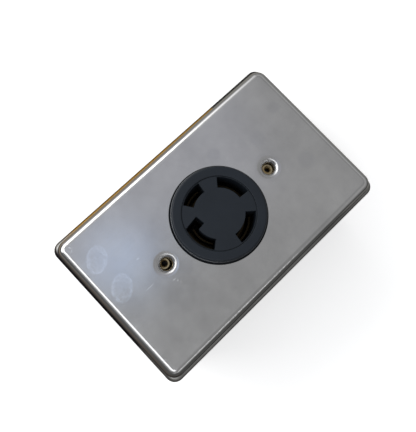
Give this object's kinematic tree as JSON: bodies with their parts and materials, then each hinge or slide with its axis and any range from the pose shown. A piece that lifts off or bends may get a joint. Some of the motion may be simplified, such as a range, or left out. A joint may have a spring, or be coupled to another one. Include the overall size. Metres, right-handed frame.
{
  "type": "generator connection box with locking receptacle",
  "caption": "Wall box with a raised steel cover plate and a round black locking receptacle with curved slots, wired by side clamps.",
  "frame": {"origin": "centre of the box's flat back face", "axes": "+Z from the back to the front face with the receptacle, +Y along the long side, +X along the short side"},
  "size_m": [0.0784, 0.1248, 0.0631],
  "materials": {
    "box_metal": "die cast, dull and dark with age",
    "gasket_rubber": "matt",
    "cover_steel": "satin stainless steel with light scuffs",
    "face_nylon": "black nylon, fine texture",
    "body_plastic": "black nylon",
    "strap_brass": "plated, satin",
    "contact_brass": "stamped, tarnished",
    "screw_brass": "turned",
    "zinc_steel": "zinc plated",
    "green_screw": "green coating"
  },
  "bodies": {
    "box": {"device_box": "box_metal", "closure_plug_end": "box_metal", "closure_plug_back_upper": "box_metal", "closure_plug_back_lower": "box_metal", "box_ground_screw": "green_screw", "gasket": "gasket_rubber", "receptacle_face": "face_nylon", "receptacle_body": "body_plastic", "mounting_strap": "strap_brass", "contact_line_1": "contact_brass", "contact_line_2": "contact_brass", "contact_neutral": "contact_brass", "contact_ground": "contact_brass", "strap_screw_lower": "zinc_steel", "strap_screw_upper": "zinc_steel", "assembly_screw_lower": "zinc_steel", "assembly_screw_upper": "zinc_steel"},
    "cover": {"cover_plate": "cover_steel"},
    "clamp_line_1": {"clamp_line_1": "zinc_steel"},
    "clamp_line_2": {"clamp_line_2": "zinc_steel"},
    "clamp_neutral": {"clamp_neutral": "zinc_steel"},
    "clamp_ground": {"clamp_ground": "zinc_steel"},
    "screw_line_1": {"terminal_screw_line_1": "screw_brass"},
    "screw_line_2": {"terminal_screw_line_2": "screw_brass"},
    "screw_neutral": {"terminal_screw_neutral": "zinc_steel"},
    "screw_ground": {"terminal_screw_ground": "green_screw"}
  },
  "joints": [
    {"name": "cover_lift", "type": "slide", "parent": "box", "child": "cover", "axis": [0, 0, 1], "range_m": [0, 0.03]},
    {"name": "clamp_line_1_slide", "type": "slide", "parent": "box", "child": "clamp_line_1", "axis": [-1, 0, 0], "range_m": [0, 0.00238]},
    {"name": "clamp_line_2_slide", "type": "slide", "parent": "box", "child": "clamp_line_2", "axis": [1, 0, 0], "range_m": [0, 0.00238]},
    {"name": "clamp_neutral_slide", "type": "slide", "parent": "box", "child": "clamp_neutral", "axis": [1, 0, 0], "range_m": [0, 0.00238]},
    {"name": "clamp_ground_slide", "type": "slide", "parent": "box", "child": "clamp_ground", "axis": [-1, 0, 0], "range_m": [0, 0.00238]},
    {"name": "screw_line_1_turn", "type": "hinge", "parent": "clamp_line_1", "child": "screw_line_1", "pos_m": [0.0204, 0.019, 0.0315], "axis": [-1, 0, 0], "range_deg": [0, 1080]},
    {"name": "screw_line_2_turn", "type": "hinge", "parent": "clamp_line_2", "child": "screw_line_2", "pos_m": [-0.0204, 0.019, 0.0315], "axis": [1, 0, 0], "range_deg": [0, 1080]},
    {"name": "screw_neutral_turn", "type": "hinge", "parent": "clamp_neutral", "child": "screw_neutral", "pos_m": [-0.0204, -0.019, 0.0315], "axis": [1, 0, 0], "range_deg": [0, 1080]},
    {"name": "screw_ground_turn", "type": "hinge", "parent": "clamp_ground", "child": "screw_ground", "pos_m": [0.0204, -0.019, 0.0315], "axis": [-1, 0, 0], "range_deg": [0, 1080]}
  ],
  "couplings": [
    {"joint": "screw_line_1_turn", "follows": "clamp_line_1_slide", "rad_per_m": 7913.2},
    {"joint": "screw_line_2_turn", "follows": "clamp_line_2_slide", "rad_per_m": 7913.2},
    {"joint": "screw_neutral_turn", "follows": "clamp_neutral_slide", "rad_per_m": 7913.2},
    {"joint": "screw_ground_turn", "follows": "clamp_ground_slide", "rad_per_m": 7913.2}
  ]
}
